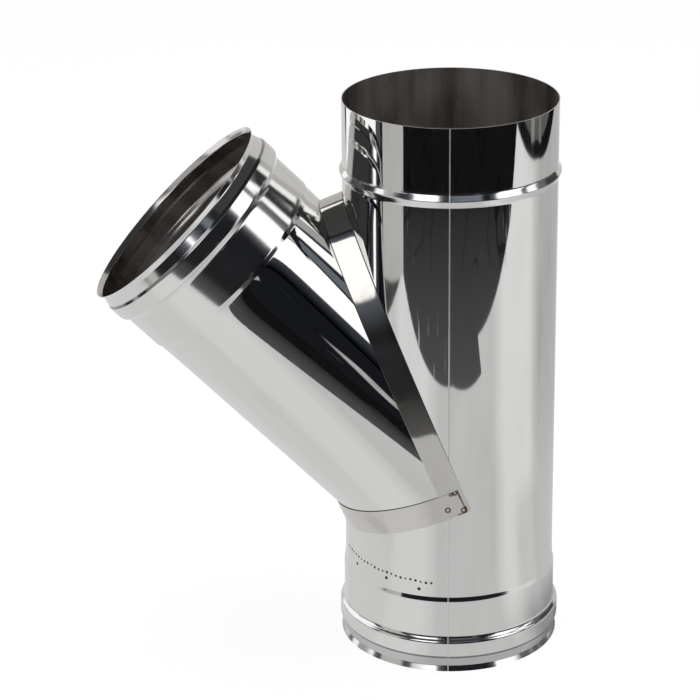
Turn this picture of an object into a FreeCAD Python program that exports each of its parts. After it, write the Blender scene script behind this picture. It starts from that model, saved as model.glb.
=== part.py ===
import FreeCAD, Part
import math
import os
import Sketcher

# Forty-five degree branch of a round single-wall flue, in millimetres.
#
# Two equal tubes of thin stainless sheet cross at one point. Each is cut back along the valley
# where they meet, and two collar bands bridge the valley from outside: the lower band wraps the
# closed fold under the branch, and the upper band climbs both sides and over the crotch. Each
# band laps the ends of both tubes. The bottom of the main pipe and the mouth of the branch are
# the same socket, and the top of the main pipe is the spigot that such a socket takes.
#
# The origin is the centre of the bottom rim, +Z runs up the main pipe and the branch leans
# towards -X. The axes cross at the height LowerLength.

DRIVING_SIZES = (
    # tubes
    ("TubeRadius", 75.0, "outside radius of both tubes and of the spigot"),
    ("SheetThickness", 0.6, "wall of every piece"),
    ("BranchAngle", 45.0, "degrees between the branch and the upper half of the main pipe"),
    ("LowerLength", 129.5, "bottom rim to the crossing of the axes"),
    ("UpperLength", 272.0, "crossing of the axes to the top rim"),
    ("BranchLength", 272.0, "crossing of the axes to the mouth of the branch"),
    # spigot and its stop bead
    ("SpigotLength", 47.7, "top rim to the upper foot of the stop bead"),
    ("BeadUpperFlank", 2.7, "height of the bead's upper flank"),
    ("BeadLowerFlank", 4.6, "height of the bead's lower flank"),
    ("BeadHeight", 2.2, "how far the bead stands out, before its crest is rounded"),
    # socket, measured inwards from its rim
    ("SocketClearance", 0.7, "radial room between a spigot and the socket wall"),
    ("SocketDepth", 53.6, "rim to the step that stops a spigot"),
    ("StepLength", 3.6, "length of the step down to the tube"),
    ("BeadClearance", 0.4, "radial room between a stop bead and the lip"),
    ("RimFlare", 0.3, "how far the rim opens past the lip"),
    ("WaistHeight", 4.6, "rim to the waist of the lip"),
    ("WaistRelief", 0.2, "how far the waist stands out from the socket wall"),
    ("LipLength", 10.2, "rim to the crease where the groove starts"),
    ("CreaseLength", 2.0, "length of that crease"),
    ("GrooveDepth", 1.1, "how far the groove's wall stands out from the lip"),
    ("GrooveLength", 9.8, "length of the groove's wall"),
    ("ShoulderLength", 4.4, "length of the cone from the groove down to the socket wall"),
    ("BendRadius", 1.2, "outside of the groove's two bends and of the bead's crest"),
    # collar bands
    ("UpperBandWidth", 17.2, "width of the band over the crotch"),
    ("LowerBandWidth", 18.7, "width of the band round the lower fold"),
    ("BandLap", 4.0, "how far each tube runs in under a band's edge"),
)

BOTH_TUBES = "Sizes.UpperLength + Sizes.BranchLength"
TOTAL_HEIGHT = "(Sizes.LowerLength + Sizes.UpperLength)"
HALF_COS = "cos(Sizes.BranchAngle / 2)"
HALF_SIN = "sin(Sizes.BranchAngle / 2)"
HALF_TAN = "tan(Sizes.BranchAngle / 2)"
UPPER_HALF = "(Sizes.UpperBandWidth / 2)"
LOWER_HALF = "(Sizes.LowerBandWidth / 2)"
# where each band is widest, measured along its valley from the crossing of the axes
UPPER_CENTRE = f"({UPPER_HALF} / {HALF_TAN})"
LOWER_CENTRE = f"({LOWER_HALF} * {HALF_TAN})"
# bends that stand out are rolled round on the outside, and the others are sharp creases
ROLLED_CORNERS = ("groove_start", "groove_end", "bead_crest")

doc = FreeCAD.newDocument("PipeBranch")


def make_sizes():
    """Spreadsheet of the driving sizes, one alias for each."""
    sheet = doc.addObject("Spreadsheet::Sheet", "Sizes")
    for row, (alias, value, meaning) in enumerate(DRIVING_SIZES, start=1):
        sheet.set(f"A{row}", meaning)
        sheet.set(f"B{row}", str(value))
        sheet.setAlias(f"B{row}", alias)
    doc.recompute()
    return sheet


def add_sketch(body, name):
    """Sketch in the body's XZ plane, with x as the distance from the axis and y as the height."""
    sketch = body.newObject("Sketcher::SketchObject", name)
    plane = next(f for f in body.Origin.OriginFeatures if f.Role == "XZ_Plane")
    sketch.AttachmentSupport = (plane, [""])
    sketch.MapMode = "FlatFace"
    return sketch


def place_of(corner):
    """Point where a corner stands now. A corner is its name, its distance and its height."""
    _, across, height = corner
    return FreeCAD.Vector(sizes.evalExpression(across), sizes.evalExpression(height), 0)


def add_size(sketch, kind, name, elements, expression):
    """Dimension of a sketch, held to an expression."""
    value = float(sizes.evalExpression(expression))
    index = sketch.addConstraint(Sketcher.Constraint(kind, *elements, value))
    sketch.renameConstraint(index, name)
    sketch.setExpression(f"Constraints.{name}", expression)


def hold_corner(sketch, corner, element):
    """Hold a point of a sketch at a corner. A height of "0" keeps it on the rim's plane."""
    name, across, height = corner
    add_size(sketch, "DistanceX", f"{name}_across", (-1, 1, *element), across)
    if height == "0":
        sketch.addConstraint(Sketcher.Constraint("PointOnObject", *element, -1))
    else:
        add_size(sketch, "DistanceY", f"{name}_height", (-1, 1, *element), height)


def add_polygon(body, name, corners):
    """Closed outline of straight edges."""
    sketch = add_sketch(body, name)
    places = [place_of(corner) for corner in corners]
    following = [(i + 1) % len(corners) for i in range(len(corners))]
    for i, j in enumerate(following):
        sketch.addGeometry(Part.LineSegment(places[i], places[j]))
    for i, j in enumerate(following):
        sketch.addConstraint(Sketcher.Constraint("Coincident", i, 2, j, 1))
    for i, corner in enumerate(corners):
        hold_corner(sketch, corner, (i, 1))
    doc.recompute()
    return sketch


def add_outside(sketch, corners, places):
    """Outside of a sheet's section: straight runs through the corners, with arcs at rolled ones."""
    radius = sizes.evalExpression("Sizes.BendRadius")
    steps = [(b - a).normalize() for a, b in zip(places, places[1:])]
    starts = list(places[:-1])
    ends = list(places[1:])
    middles = {}
    for i in range(1, len(steps)):
        if corners[i][0] in ROLLED_CORNERS:
            half_turn = steps[i - 1].getAngle(steps[i]) / 2
            ends[i - 1] = places[i] - steps[i - 1] * (radius * math.tan(half_turn))
            starts[i] = places[i] + steps[i] * (radius * math.tan(half_turn))
            inwards = (steps[i] - steps[i - 1]).normalize()
            middles[i] = places[i] + inwards * (radius / math.cos(half_turn) - radius)
    runs = [sketch.addGeometry(Part.LineSegment(a, b)) for a, b in zip(starts, ends)]

    hold_corner(sketch, corners[0], (runs[0], 1))
    hold_corner(sketch, corners[-1], (runs[-1], 2))
    for i in range(1, len(runs)):
        before, after = runs[i - 1], runs[i]
        if i not in middles:
            sketch.addConstraint(Sketcher.Constraint("Coincident", before, 2, after, 1))
            hold_corner(sketch, corners[i], (after, 1))
            continue
        mark = sketch.addGeometry(Part.Point(places[i]), True)
        hold_corner(sketch, corners[i], (mark, 1))
        sketch.addConstraint(Sketcher.Constraint("PointOnObject", mark, 1, before))
        sketch.addConstraint(Sketcher.Constraint("PointOnObject", mark, 1, after))
        arc = sketch.addGeometry(Part.Arc(ends[i - 1], middles[i], starts[i]))
        sketch.addConstraint(Sketcher.Constraint("Tangent", before, 2, arc, 1))
        sketch.addConstraint(Sketcher.Constraint("Tangent", arc, 2, after, 1))
        add_size(sketch, "Radius", f"{corners[i][0]}_bend", (arc,), "Sizes.BendRadius")
    return runs


def add_inside(sketch, places, outside):
    """Inside of a sheet's section: a run for each one outside, parallel to it and one sheet away."""
    sheet = sizes.evalExpression("Sizes.SheetThickness")
    lefts = [FreeCAD.Vector(a.y - b.y, b.x - a.x, 0).normalize() for a, b in zip(places, places[1:])]
    befores, afters = lefts[:1] + lefts, lefts + lefts[-1:]
    insets = [(a + b) * (sheet / (1 + a.dot(b))) for a, b in zip(befores, afters)]
    inner = [place + inset for place, inset in zip(places, insets)]
    runs = [sketch.addGeometry(Part.LineSegment(a, b)) for a, b in zip(inner, inner[1:])]
    for before, after in zip(runs, runs[1:]):
        sketch.addConstraint(Sketcher.Constraint("Coincident", before, 2, after, 1))
    for i, (outer_run, run) in enumerate(zip(outside, runs)):
        sketch.addConstraint(Sketcher.Constraint("Parallel", outer_run, run))
        add_size(sketch, "Distance", f"sheet_{i}", (run, 1, outer_run), "Sizes.SheetThickness")
    return runs


def add_sheet_section(body, name, corners):
    """Section of a sheet whose outside runs through the corners, with both of its ends cut level."""
    sketch = add_sketch(body, name)
    places = [place_of(corner) for corner in corners]
    outside = add_outside(sketch, corners, places)
    inside = add_inside(sketch, places, outside)
    for run, point, inner_run in ((outside[0], 1, inside[0]), (outside[-1], 2, inside[-1])):
        ends = (sketch.getPoint(run, point), sketch.getPoint(inner_run, point))
        cut = sketch.addGeometry(Part.LineSegment(*ends))
        sketch.addConstraint(Sketcher.Constraint("Coincident", cut, 1, run, point))
        sketch.addConstraint(Sketcher.Constraint("Coincident", cut, 2, inner_run, point))
        sketch.addConstraint(Sketcher.Constraint("Horizontal", cut))
    doc.recompute()
    return sketch


def socket_corners():
    """Outside of a socket from its rim to the tube: flared lip, groove, shoulder, wall and step."""
    lip = "Sizes.TubeRadius + Sizes.BeadHeight + Sizes.BeadClearance + Sizes.SheetThickness"
    groove = f"{lip} + Sizes.GrooveDepth"
    wall = "Sizes.TubeRadius + Sizes.SocketClearance + Sizes.SheetThickness"
    groove_start = "Sizes.LipLength + Sizes.CreaseLength"
    groove_end = f"{groove_start} + Sizes.GrooveLength"
    return [
        ("rim", f"{lip} + Sizes.RimFlare", "0"),
        ("waist", f"{wall} + Sizes.WaistRelief", "Sizes.WaistHeight"),
        ("lip_end", lip, "Sizes.LipLength"),
        ("groove_start", groove, groove_start),
        ("groove_end", groove, groove_end),
        ("wall_start", wall, f"{groove_end} + Sizes.ShoulderLength"),
        ("wall_end", wall, "Sizes.SocketDepth"),
        ("tube_start", "Sizes.TubeRadius", "Sizes.SocketDepth + Sizes.StepLength"),
    ]


def spigot_corners():
    """Outside of the main pipe's top: the stop bead and the plain spigot above it."""
    bead_top = f"{TOTAL_HEIGHT} - Sizes.SpigotLength"
    bead_crest = f"{bead_top} - Sizes.BeadUpperFlank"
    return [
        ("bead_foot", "Sizes.TubeRadius", f"{bead_crest} - Sizes.BeadLowerFlank"),
        ("bead_crest", "Sizes.TubeRadius + Sizes.BeadHeight", bead_crest),
        ("bead_top", "Sizes.TubeRadius", bead_top),
    ]


def valley_cut(side, crossing):
    """Outline of what the collar valley takes off one tube.

    side is 1 for the main pipe and -1 for the branch, and crossing is the height of the crossing
    of the axes in the tube's own frame. The tube runs in under each band's edge by BandLap,
    except round the corner where the bands meet: a band lies closest to the tube there, so the
    tube stops flush with the band's edge.
    """
    far = BOTH_TUBES
    side_sign = "" if side > 0 else "-"

    def place(name, across, along):
        """Corner at a distance across the upper valley and one along it, from the crossing."""
        x = f"{side_sign}({across}) * {HALF_COS} - ({along}) * {HALF_SIN}"
        z = f"{crossing} + ({across}) * {HALF_SIN} + {side_sign}({along}) * {HALF_COS}"
        return name, x, z

    def lower(name, out, half):
        """Corner on the tube's side of the lower valley."""
        return place(name, f"-({out})", f"-{side_sign}({half})")

    def upper(name, out, half):
        """Corner on the tube's side of the upper valley."""
        return place(name, f"{side_sign}({half})", out)

    edge = [
        lower("lower_far", far, f"{LOWER_HALF} - Sizes.BandLap"),
        lower("lower_lap", LOWER_CENTRE, f"{LOWER_HALF} - Sizes.BandLap"),
        lower("lower_edge", LOWER_CENTRE, LOWER_HALF),
        place("corner", f"{side_sign}{UPPER_HALF}", f"-{side_sign}{LOWER_HALF}"),
        upper("upper_edge", UPPER_CENTRE, UPPER_HALF),
        upper("upper_lap", UPPER_CENTRE, f"{UPPER_HALF} - Sizes.BandLap"),
        upper("upper_far", far, f"{UPPER_HALF} - Sizes.BandLap"),
    ]
    if side > 0:
        return edge + [place("outside", f"-({far})", far)]
    return edge + [
        place("above", far, far),
        place("right", far, f"-({far})"),
        place("below", f"-({far})", f"-({far})"),
    ]


def make_pipe(label, corners, side, crossing):
    """One tube: the section of its sheet turned about the axis, then mitred along the valley."""
    body = doc.addObject("PartDesign::Body", label)
    body.Label = label
    section = add_sheet_section(body, f"{label}_section", corners)

    tube = body.newObject("PartDesign::Revolution", f"{label}_tube")
    tube.Profile = section
    tube.ReferenceAxis = (section, ["V_Axis"])
    tube.Angle = 360
    doc.recompute()

    mitre = body.newObject("PartDesign::Pocket", f"{label}_mitre")
    mitre.Profile = add_polygon(body, f"{label}_valley", valley_cut(side, crossing))
    mitre.Type = "ThroughAll"
    mitre.SideType = "Symmetric"
    doc.recompute()
    if not 0.5 * tube.Shape.Volume < mitre.Shape.Volume < 0.95 * tube.Shape.Volume:
        raise RuntimeError(f"{label}: the mitre took {tube.Shape.Volume - mitre.Shape.Volume:.0f} mm3")
    return body


def make_main_pipe():
    """Straight tube from the bottom socket to the top spigot, open at the valley."""
    corners = socket_corners() + spigot_corners()
    corners.append(("top", "Sizes.TubeRadius", TOTAL_HEIGHT))
    return make_pipe("main_pipe", corners, 1, "Sizes.LowerLength")


def make_branch_pipe():
    """Slanted tube from its socket mouth down to the valley, built with the mouth as its foot."""
    corners = socket_corners()
    corners.append(("end", "Sizes.TubeRadius", "Sizes.BranchLength"))
    body = make_pipe("branch_pipe", corners, -1, "Sizes.BranchLength")
    body.Placement.Rotation = FreeCAD.Rotation(FreeCAD.Vector(0, 1, 0), 1)
    rise = "Sizes.BranchLength * cos(Sizes.BranchAngle)"
    body.setExpression("Placement.Base.x", "-Sizes.BranchLength * sin(Sizes.BranchAngle)")
    body.setExpression("Placement.Base.z", f"Sizes.LowerLength + {rise}")
    body.setExpression("Placement.Rotation.Angle", "180 - Sizes.BranchAngle")
    return body


def add_prism(name, minor, major, centre, upright, width):
    """Elliptical prism across the valley, with its minor radius along Y.

    upright puts the major radius along the band's own Z, and the prism then runs along X.
    """
    ring = doc.addObject("Part::Ellipse", f"{name}_ring")
    ring.MajorRadius = sizes.evalExpression(major)
    ring.setExpression("MajorRadius", major)
    ring.setExpression("MinorRadius", minor)
    if upright:
        ring.Placement.Rotation = FreeCAD.Rotation(FreeCAD.Vector(0, 1, 0), -90)
        ring.setExpression("Placement.Base.z", centre)
    else:
        ring.setExpression("Placement.Base.x", centre)
    prism = doc.addObject("Part::Extrusion", name)
    prism.Base = ring
    prism.DirMode = "Custom"
    prism.Dir = FreeCAD.Vector(1, 0, 0) if upright else FreeCAD.Vector(0, 0, 1)
    prism.Solid = True
    prism.Symmetric = True
    prism.setExpression("LengthFwd", width)
    return prism


def make_band(label, major, centre, upright, width, limit):
    """Collar band: a strip that bridges the valley, one sheet proud of both tubes.

    major is the long radius of the tube's section along the valley, and limit is the lowest and
    highest place along it that the band keeps.
    """
    inner = add_prism(f"{label}_inside", "Sizes.TubeRadius", major, centre, upright, width)
    outer = add_prism(
        f"{label}_outside",
        "Sizes.TubeRadius + Sizes.SheetThickness",
        f"{major} + Sizes.SheetThickness",
        centre,
        upright,
        width,
    )
    strip = doc.addObject("Part::Cut", f"{label}_strip")
    strip.Base = outer
    strip.Tool = inner

    low, high = limit
    along, across = ("z", "x") if upright else ("x", "z")
    extent = {"x": "Length", "y": "Width", "z": "Height"}
    kept = doc.addObject("Part::Box", f"{label}_kept")
    kept.setExpression(f"Placement.Base.{along}", low)
    kept.setExpression(extent[along], f"({high}) - ({low})")
    for axis in ("y", across):
        kept.setExpression(f"Placement.Base.{axis}", f"-({BOTH_TUBES})")
        kept.setExpression(extent[axis], f"2 * ({BOTH_TUBES})")

    band = doc.addObject("Part::Common", label)
    band.Label = label
    band.Base = strip
    band.Tool = kept
    band.Placement.Rotation = FreeCAD.Rotation(FreeCAD.Vector(0, 1, 0), 1)
    band.setExpression("Placement.Base.z", "Sizes.LowerLength")
    band.setExpression("Placement.Rotation.Angle", "-Sizes.BranchAngle / 2")
    return band


def make_lower_band():
    """Band round the fold under the branch, from one corner square round to the other."""
    return make_band(
        "lower_collar_band",
        f"Sizes.TubeRadius / {HALF_COS}",
        f"-{LOWER_CENTRE}",
        False,
        "Sizes.LowerBandWidth",
        (f"-({BOTH_TUBES})", UPPER_HALF),
    )


def make_upper_band():
    """Band over the crotch and down both sides, as far as the lower band's edge."""
    return make_band(
        "upper_collar_band",
        f"Sizes.TubeRadius / {HALF_SIN}",
        UPPER_CENTRE,
        True,
        "Sizes.UpperBandWidth",
        (LOWER_HALF, BOTH_TUBES),
    )


def check_and_write(pieces):
    """Stop at anything that failed, then write each piece to parts/ under its label."""
    doc.recompute()
    for thing in doc.Objects:
        if {"Invalid", "Error"} & set(thing.State):
            raise RuntimeError(f"{thing.Label} failed: {thing.State}")
    for piece in pieces:
        if piece.Shape.isNull() or not piece.Shape.isValid() or len(piece.Shape.Solids) != 1:
            raise RuntimeError(f"{piece.Label} isn't one valid solid")
    os.makedirs("parts", exist_ok=True)
    for piece in pieces:
        piece.Shape.exportStep(f"parts/{piece.Label}.step")
        print(f"{piece.Label}: {piece.Shape.Volume:.1f} mm3")


sizes = make_sizes()
check_and_write([make_main_pipe(), make_branch_pipe(), make_upper_band(), make_lower_band()])
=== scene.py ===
"""Forty-five degree branch of a round stainless flue, dressed for a studio picture.

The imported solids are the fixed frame. Each of them is replaced by a finer piece of the same
form, because polished sheet shows every facet of a coarse mesh in its reflections. All lengths
are in metres, in the frame of the solids: the origin is the centre of the bottom rim, +Z runs
up the main pipe, the branch leans towards -X and the camera looks from -Y.
"""

import logging
import math
from contextlib import contextmanager
from dataclasses import dataclass, field
from enum import Enum
from typing import Callable, ClassVar, Iterator, NamedTuple, Sequence

import bmesh
import bpy
from mathutils import Euler, Matrix, Vector


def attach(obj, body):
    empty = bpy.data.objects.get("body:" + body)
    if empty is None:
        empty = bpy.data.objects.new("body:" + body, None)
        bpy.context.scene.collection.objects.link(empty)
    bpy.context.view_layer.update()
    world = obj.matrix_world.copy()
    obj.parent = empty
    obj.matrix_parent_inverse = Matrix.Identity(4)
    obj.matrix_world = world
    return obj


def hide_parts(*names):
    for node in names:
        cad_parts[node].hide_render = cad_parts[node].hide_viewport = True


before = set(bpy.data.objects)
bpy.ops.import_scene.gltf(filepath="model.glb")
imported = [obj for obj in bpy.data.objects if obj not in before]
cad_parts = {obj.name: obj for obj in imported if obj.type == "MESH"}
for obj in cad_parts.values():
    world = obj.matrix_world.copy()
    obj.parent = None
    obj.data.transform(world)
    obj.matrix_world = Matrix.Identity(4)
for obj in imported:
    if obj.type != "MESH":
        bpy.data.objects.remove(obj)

LOG = logging.getLogger("pipe_branch")
BODY = "root"
TINY = 1e-6

Colour = tuple[float, float, float, float]


class Slot(Enum):
    """Material slots of the record."""

    TUBE = "tube_sheet"
    COLLAR = "collar_sheet"


class Skin(Enum):
    """Material slots of a sheet piece, in the order in which its wall fills them."""

    OUTSIDE = 0
    INSIDE = 1
    EDGE = 2


@dataclass(frozen=True)
class Corner:
    """Corner of a sheet's section: its distance from the axis, its height and its bend."""

    radius: float
    height: float
    bend: float = 0.0


@dataclass(frozen=True)
class FlueSizes:
    """Driving sizes of the branch.

    They are those of the solids, apart from softer bends, the waist's place, the bead's run-out
    and the tail, the faint flare that forming a socket leaves on the tube.
    """

    tube_radius: float = 0.075
    sheet: float = 0.0006
    branch_angle: float = math.radians(45)
    lower_length: float = 0.1295
    upper_length: float = 0.272
    branch_length: float = 0.272
    spigot_length: float = 0.0477
    bead_upper_flank: float = 0.0027
    bead_lower_flank: float = 0.0046
    bead_height: float = 0.0022
    bead_run_out: float = 0.0015
    socket_clearance: float = 0.0007
    socket_depth: float = 0.0536
    step_length: float = 0.0036
    bead_clearance: float = 0.0004
    rim_flare: float = 0.0003
    waist_height: float = 0.0038
    waist_relief: float = 0.0001
    lip_length: float = 0.0102
    crease_length: float = 0.002
    groove_depth: float = 0.0011
    groove_length: float = 0.0098
    shoulder_length: float = 0.0044
    bend: float = 0.0012
    soft_bend: float = 0.0032
    shoulder_bend: float = 0.0048
    shoulder_tilt: float = math.radians(50)
    tail_rise: float = 0.00042
    tail_reach: float = 0.0065
    tail_runs: tuple[float, ...] = (
        0.0, 0.0015, 0.003, 0.005, 0.0075, 0.0105, 0.0145, 0.02, 0.028, 0.04,
    )
    upper_band: float = 0.0172
    lower_band: float = 0.0187
    band_lap: float = 0.004

    @property
    def height(self) -> float:
        """Whole height of the main pipe."""
        return self.lower_length + self.upper_length

    @property
    def half_angle(self) -> float:
        """Tilt of the valleys from the pipes' axes."""
        return self.branch_angle / 2

    @property
    def upper_centre(self) -> float:
        """Height of the upper band's widest place above the crossing, along its valley."""
        return self.upper_band / 2 / math.tan(self.half_angle)

    @property
    def lower_centre(self) -> float:
        """Distance of the lower band's widest place from the crossing, along its valley."""
        return self.lower_band / 2 * math.tan(self.half_angle)

    @property
    def crossing(self) -> Vector:
        """Point where the axes cross."""
        return Vector((0, 0, self.lower_length))

    @property
    def branch_axis(self) -> Vector:
        """Direction of the branch, from the crossing to its mouth."""
        return Vector((-math.sin(self.branch_angle), 0, math.cos(self.branch_angle)))

    @property
    def valley_axis(self) -> Vector:
        """Direction of the upper valley, from the crossing to the crotch."""
        return Vector((-math.sin(self.half_angle), 0, math.cos(self.half_angle)))

    def socket(self) -> list[Corner]:
        """Section of a socket from its rim to the tube.

        Returns:
            Corners of the outside: flared lip, groove, shoulder, wall, step and tail.
        """
        lip = self.tube_radius + self.bead_height + self.bead_clearance + self.sheet
        groove = lip + self.groove_depth
        wall = self.tube_radius + self.socket_clearance + self.sheet
        groove_start = self.lip_length + self.crease_length
        groove_end = groove_start + self.groove_length
        shoulder = groove_end + self.shoulder_length / 2
        steep = (groove - wall) / math.tan(self.shoulder_tilt) / 2
        tube_start = self.socket_depth + self.step_length
        tail = [
            Corner(self.tube_radius + self.tail(run), tube_start + run, self.tail_bend(run))
            for run in self.tail_runs
        ]
        return [
            Corner(lip + self.rim_flare, 0),
            Corner(wall + self.waist_relief, self.waist_height, self.bend),
            Corner(lip, self.lip_length, self.bend),
            Corner(groove, groove_start, self.bend),
            Corner(groove, shoulder - steep, self.soft_bend),
            Corner(wall, shoulder + steep, self.shoulder_bend),
            Corner(wall, self.socket_depth, self.soft_bend),
            *tail,
        ]

    def tail(self, run: float) -> float:
        """Rise of the tail at a distance from the step."""
        end = math.exp(-self.tail_runs[-1] / self.tail_reach)
        return self.tail_rise * (math.exp(-run / self.tail_reach) - end)

    def tail_bend(self, run: float) -> float:
        """Bend of the tail's corners: only the first is rolled."""
        return 0.0 if run else self.soft_bend

    def spigot(self) -> list[Corner]:
        """Section of the main pipe's top.

        Returns:
            Corners of the outside: the stop bead and the rim above it.
        """
        bead_top = self.height - self.spigot_length
        crest = bead_top - self.bead_upper_flank
        return [
            Corner(self.tube_radius, crest - self.bead_lower_flank, self.soft_bend),
            Corner(self.tube_radius + self.bead_height, crest, self.bend),
            Corner(self.tube_radius, bead_top + self.bead_run_out, self.soft_bend),
            Corner(self.tube_radius, self.height),
        ]


def deselect_all() -> None:
    """Leave object mode's selection empty."""
    bpy.ops.object.select_all(action="DESELECT")


def activate(piece: bpy.types.Object) -> None:
    """Make one object the only selected and the active one."""
    deselect_all()
    piece.select_set(True)
    bpy.context.view_layer.objects.active = piece


@contextmanager
def editing(piece: bpy.types.Object) -> Iterator[bmesh.types.BMesh]:
    """Open a piece in edit mode for the length of a with block.

    Args:
        piece: mesh object to edit.

    Returns:
        Its edit mesh, to select by place or normal.
    """
    activate(piece)
    bpy.ops.object.mode_set(mode="EDIT")
    bpy.ops.mesh.select_mode(type="VERT")
    try:
        yield bmesh.from_edit_mesh(piece.data)
    finally:
        bpy.ops.object.mode_set(mode="OBJECT")


def select_faces(piece: bpy.types.Object, wanted: Callable[[bmesh.types.BMFace], bool]) -> None:
    """Select the faces that pass a test and nothing else, in edit mode.

    Args:
        piece: mesh object in edit mode.
        wanted: test of a face.
    """
    bpy.ops.mesh.select_mode(type="FACE")
    bpy.ops.mesh.select_all(action="DESELECT")
    mesh = bmesh.from_edit_mesh(piece.data)
    for face in mesh.faces:
        if wanted(face):
            face.select = True
    mesh.select_flush(True)
    bmesh.update_edit_mesh(piece.data)


def apply_modifier(piece: bpy.types.Object, kind: str, **settings: object) -> None:
    """Add a modifier, set it up and apply it.

    Args:
        piece: object that takes it.
        kind: modifier's type.
        settings: its properties.
    """
    activate(piece)
    modifier = piece.modifiers.new(kind.lower(), kind)
    for name, value in settings.items():
        setattr(modifier, name, value)
    bpy.ops.object.modifier_apply(modifier=modifier.name)


def set_in_place(piece: bpy.types.Object, turn: float, place: Vector) -> None:
    """Turn a piece about Y and move it, with both kept in its mesh.

    Args:
        piece: object at the origin.
        turn: angle about +Y in radians.
        place: where its own origin goes.
    """
    piece.rotation_euler = Euler((0, turn, 0))
    piece.location = place
    activate(piece)
    bpy.ops.object.transform_apply(location=True, rotation=True, scale=True)


def hand_over(piece: bpy.types.Object, slot: Slot, *nodes: str) -> None:
    """Ride a finished piece on the body and say what it stands for.

    Args:
        piece: finished object.
        slot: slot of the record; not used.
        nodes: solids that it replaces.
    """
    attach(piece, BODY)
    if nodes:
        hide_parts(*nodes)
    faces = sum(len(p.vertices) - 2 for p in piece.data.polygons)
    LOG.info("%s: %d triangles, stands for %s", piece.name, faces, ", ".join(nodes) or "nothing")


def arithmetic(operation: str, swapped: bool = False) -> Callable[["Value", "Value | float"], "Value"]:
    """Operator of Value that adds a Math node.

    Args:
        operation: what the node does.
        swapped: whether the other number comes first.

    Returns:
        The method.
    """

    def apply(self: "Value", other: "Value | float") -> "Value":
        """Result of the node."""
        first, second = (other, self) if swapped else (self, other)
        return self.graph.math(operation, first, second)

    return apply


class Value:
    """Number of a node graph that takes part in Python arithmetic."""

    __add__ = arithmetic("ADD")
    __sub__ = arithmetic("SUBTRACT")
    __mul__ = arithmetic("MULTIPLY")
    __truediv__ = arithmetic("DIVIDE")
    __radd__ = arithmetic("ADD", swapped=True)
    __rsub__ = arithmetic("SUBTRACT", swapped=True)
    __rmul__ = arithmetic("MULTIPLY", swapped=True)

    def __init__(self, graph: "Graph", socket: bpy.types.NodeSocket) -> None:
        """Hold a socket and the graph that it is in."""
        self.graph = graph
        self.socket = socket

    def __abs__(self) -> "Value":
        """Size without its sign."""
        return self.graph.math("ABSOLUTE", self)

    def at_least(self, low: "Value | float") -> "Value":
        """The larger of this and another number."""
        return self.graph.math("MAXIMUM", self, low)

    def at_most(self, high: "Value | float") -> "Value":
        """The smaller of this and another number."""
        return self.graph.math("MINIMUM", self, high)

    def fade(self, low: float, high: float) -> "Value":
        """Smooth step that is 0 at low and 1 at high, whichever of them is larger."""
        span = {"From Min": min(low, high), "From Max": max(low, high)}
        smoothly = {"interpolation_type": "SMOOTHSTEP"}
        step = self.graph.node("ShaderNodeMapRange", smoothly, Value=self, **span)
        smooth = Value(self.graph, step.outputs["Result"])
        return 1 - smooth if high < low else smooth

    def band(self, start: float, full: float, last: float, end: float) -> "Value":
        """Smooth band that is 0 at start, 1 from full to last and 0 again at end."""
        return self.fade(start, full) * self.fade(end, last)


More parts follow.
